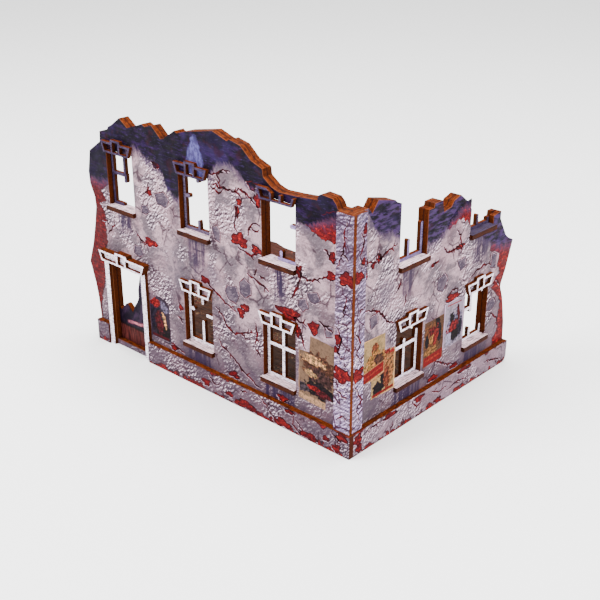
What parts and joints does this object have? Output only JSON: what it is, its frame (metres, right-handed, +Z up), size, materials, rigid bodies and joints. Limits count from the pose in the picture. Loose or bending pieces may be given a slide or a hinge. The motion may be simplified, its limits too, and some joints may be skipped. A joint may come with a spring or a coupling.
{
  "type": "miniature terrain ruin",
  "caption": "Broken corner of a two-storey town house for tabletop games: L-shaped tab-and-slot sheet walls with windows, doorway, sills, lintels, plinth and partial floors.",
  "frame": {"origin": "middle of the footprint's bounding box, at table level", "axes": "+Z up; the long front wall faces -Y and runs along X with the corner at +X; the short side wall faces +X and runs toward +Y"},
  "size_m": [0.191, 0.135, 0.1365],
  "materials": {
    "plaster_print_front": "matt",
    "plaster_print_side": "matt",
    "interior_print": "matt",
    "plinth_print": "matt",
    "pilaster_print": "matt",
    "soot_trim": "matt",
    "white_trim": "matt",
    "door_print": "matt",
    "sill_print": "matt",
    "ground_print": "matt",
    "upper_print": "matt"
  },
  "bodies": {
    "root": {"door_leaf": "door_print", "door_lintel": "white_trim", "door_surround": "white_trim", "front_frame_lower_2": "white_trim", "front_frame_lower_3": "white_trim", "front_frame_upper_1": "soot_trim", "front_frame_upper_2": "soot_trim", "front_frame_upper_3": "soot_trim", "front_lintel_lower_2": "white_trim", "front_lintel_lower_3": "white_trim", "front_lintel_upper_1": "soot_trim", "front_lintel_upper_2": "soot_trim", "front_lintel_upper_3": "soot_trim", "front_pilaster": "pilaster_print", "front_plinth_left": "plinth_print", "front_plinth_right": "plinth_print", "front_sill_lower_2": "sill_print", "front_sill_lower_3": "sill_print", "front_sill_upper_1": "sill_print", "front_sill_upper_2": "sill_print", "front_sill_upper_3": "sill_print", "front_wall_inner": "interior_print", "front_wall_outer": "plaster_print_front", "ground_floor": "ground_print", "side_frame_lower_1": "white_trim", "side_frame_lower_2": "white_trim", "side_frame_upper_1": "soot_trim", "side_frame_upper_2": "soot_trim", "side_lintel_lower_1": "white_trim", "side_lintel_lower_2": "white_trim", "side_pilaster": "pilaster_print", "side_plinth": "plinth_print", "side_sill_lower_1": "sill_print", "side_sill_lower_2": "sill_print", "side_sill_upper_1": "sill_print", "side_sill_upper_2": "sill_print", "side_wall_inner": "interior_print", "side_wall_outer": "plaster_print_side", "upper_floor": "upper_print"}
  },
  "joints": []
}
